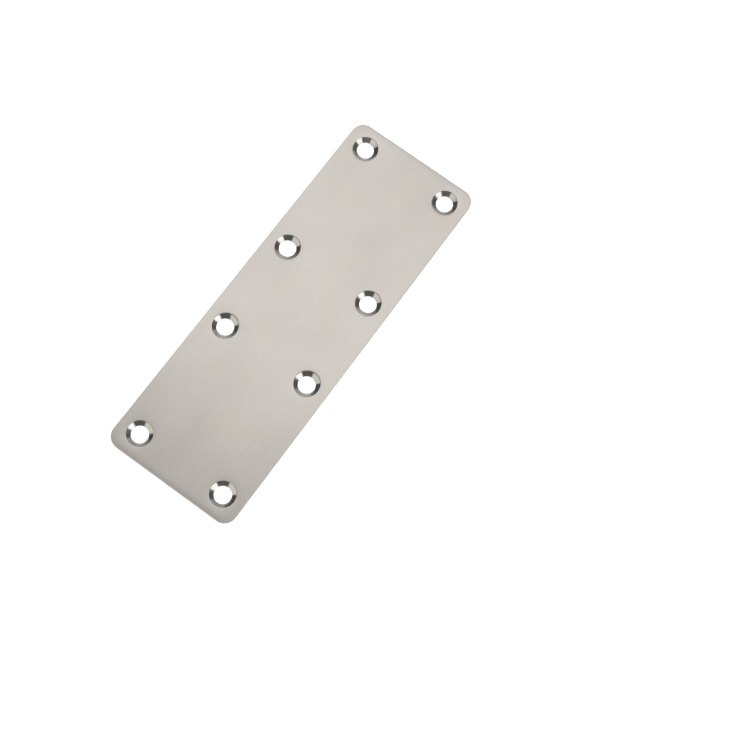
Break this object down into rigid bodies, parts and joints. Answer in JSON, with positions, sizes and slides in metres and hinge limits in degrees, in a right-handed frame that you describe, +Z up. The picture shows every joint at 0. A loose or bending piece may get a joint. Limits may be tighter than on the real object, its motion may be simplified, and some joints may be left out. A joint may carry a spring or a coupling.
{
  "type": "mending plate",
  "caption": "Flat rectangular brushed stainless mending plate with rounded corners and two rows of countersunk screw holes, for joining timber or panels end to end.",
  "frame": {"origin": "middle of the plate's underside", "axes": "+Y along the plate's length, +X across its width, +Z up through its thickness towards the countersunk face"},
  "size_m": [0.044, 0.126, 0.0015],
  "materials": {
    "plate": "satin, grain along the length"
  },
  "bodies": {
    "root": {"mending_plate": "plate"}
  },
  "joints": []
}
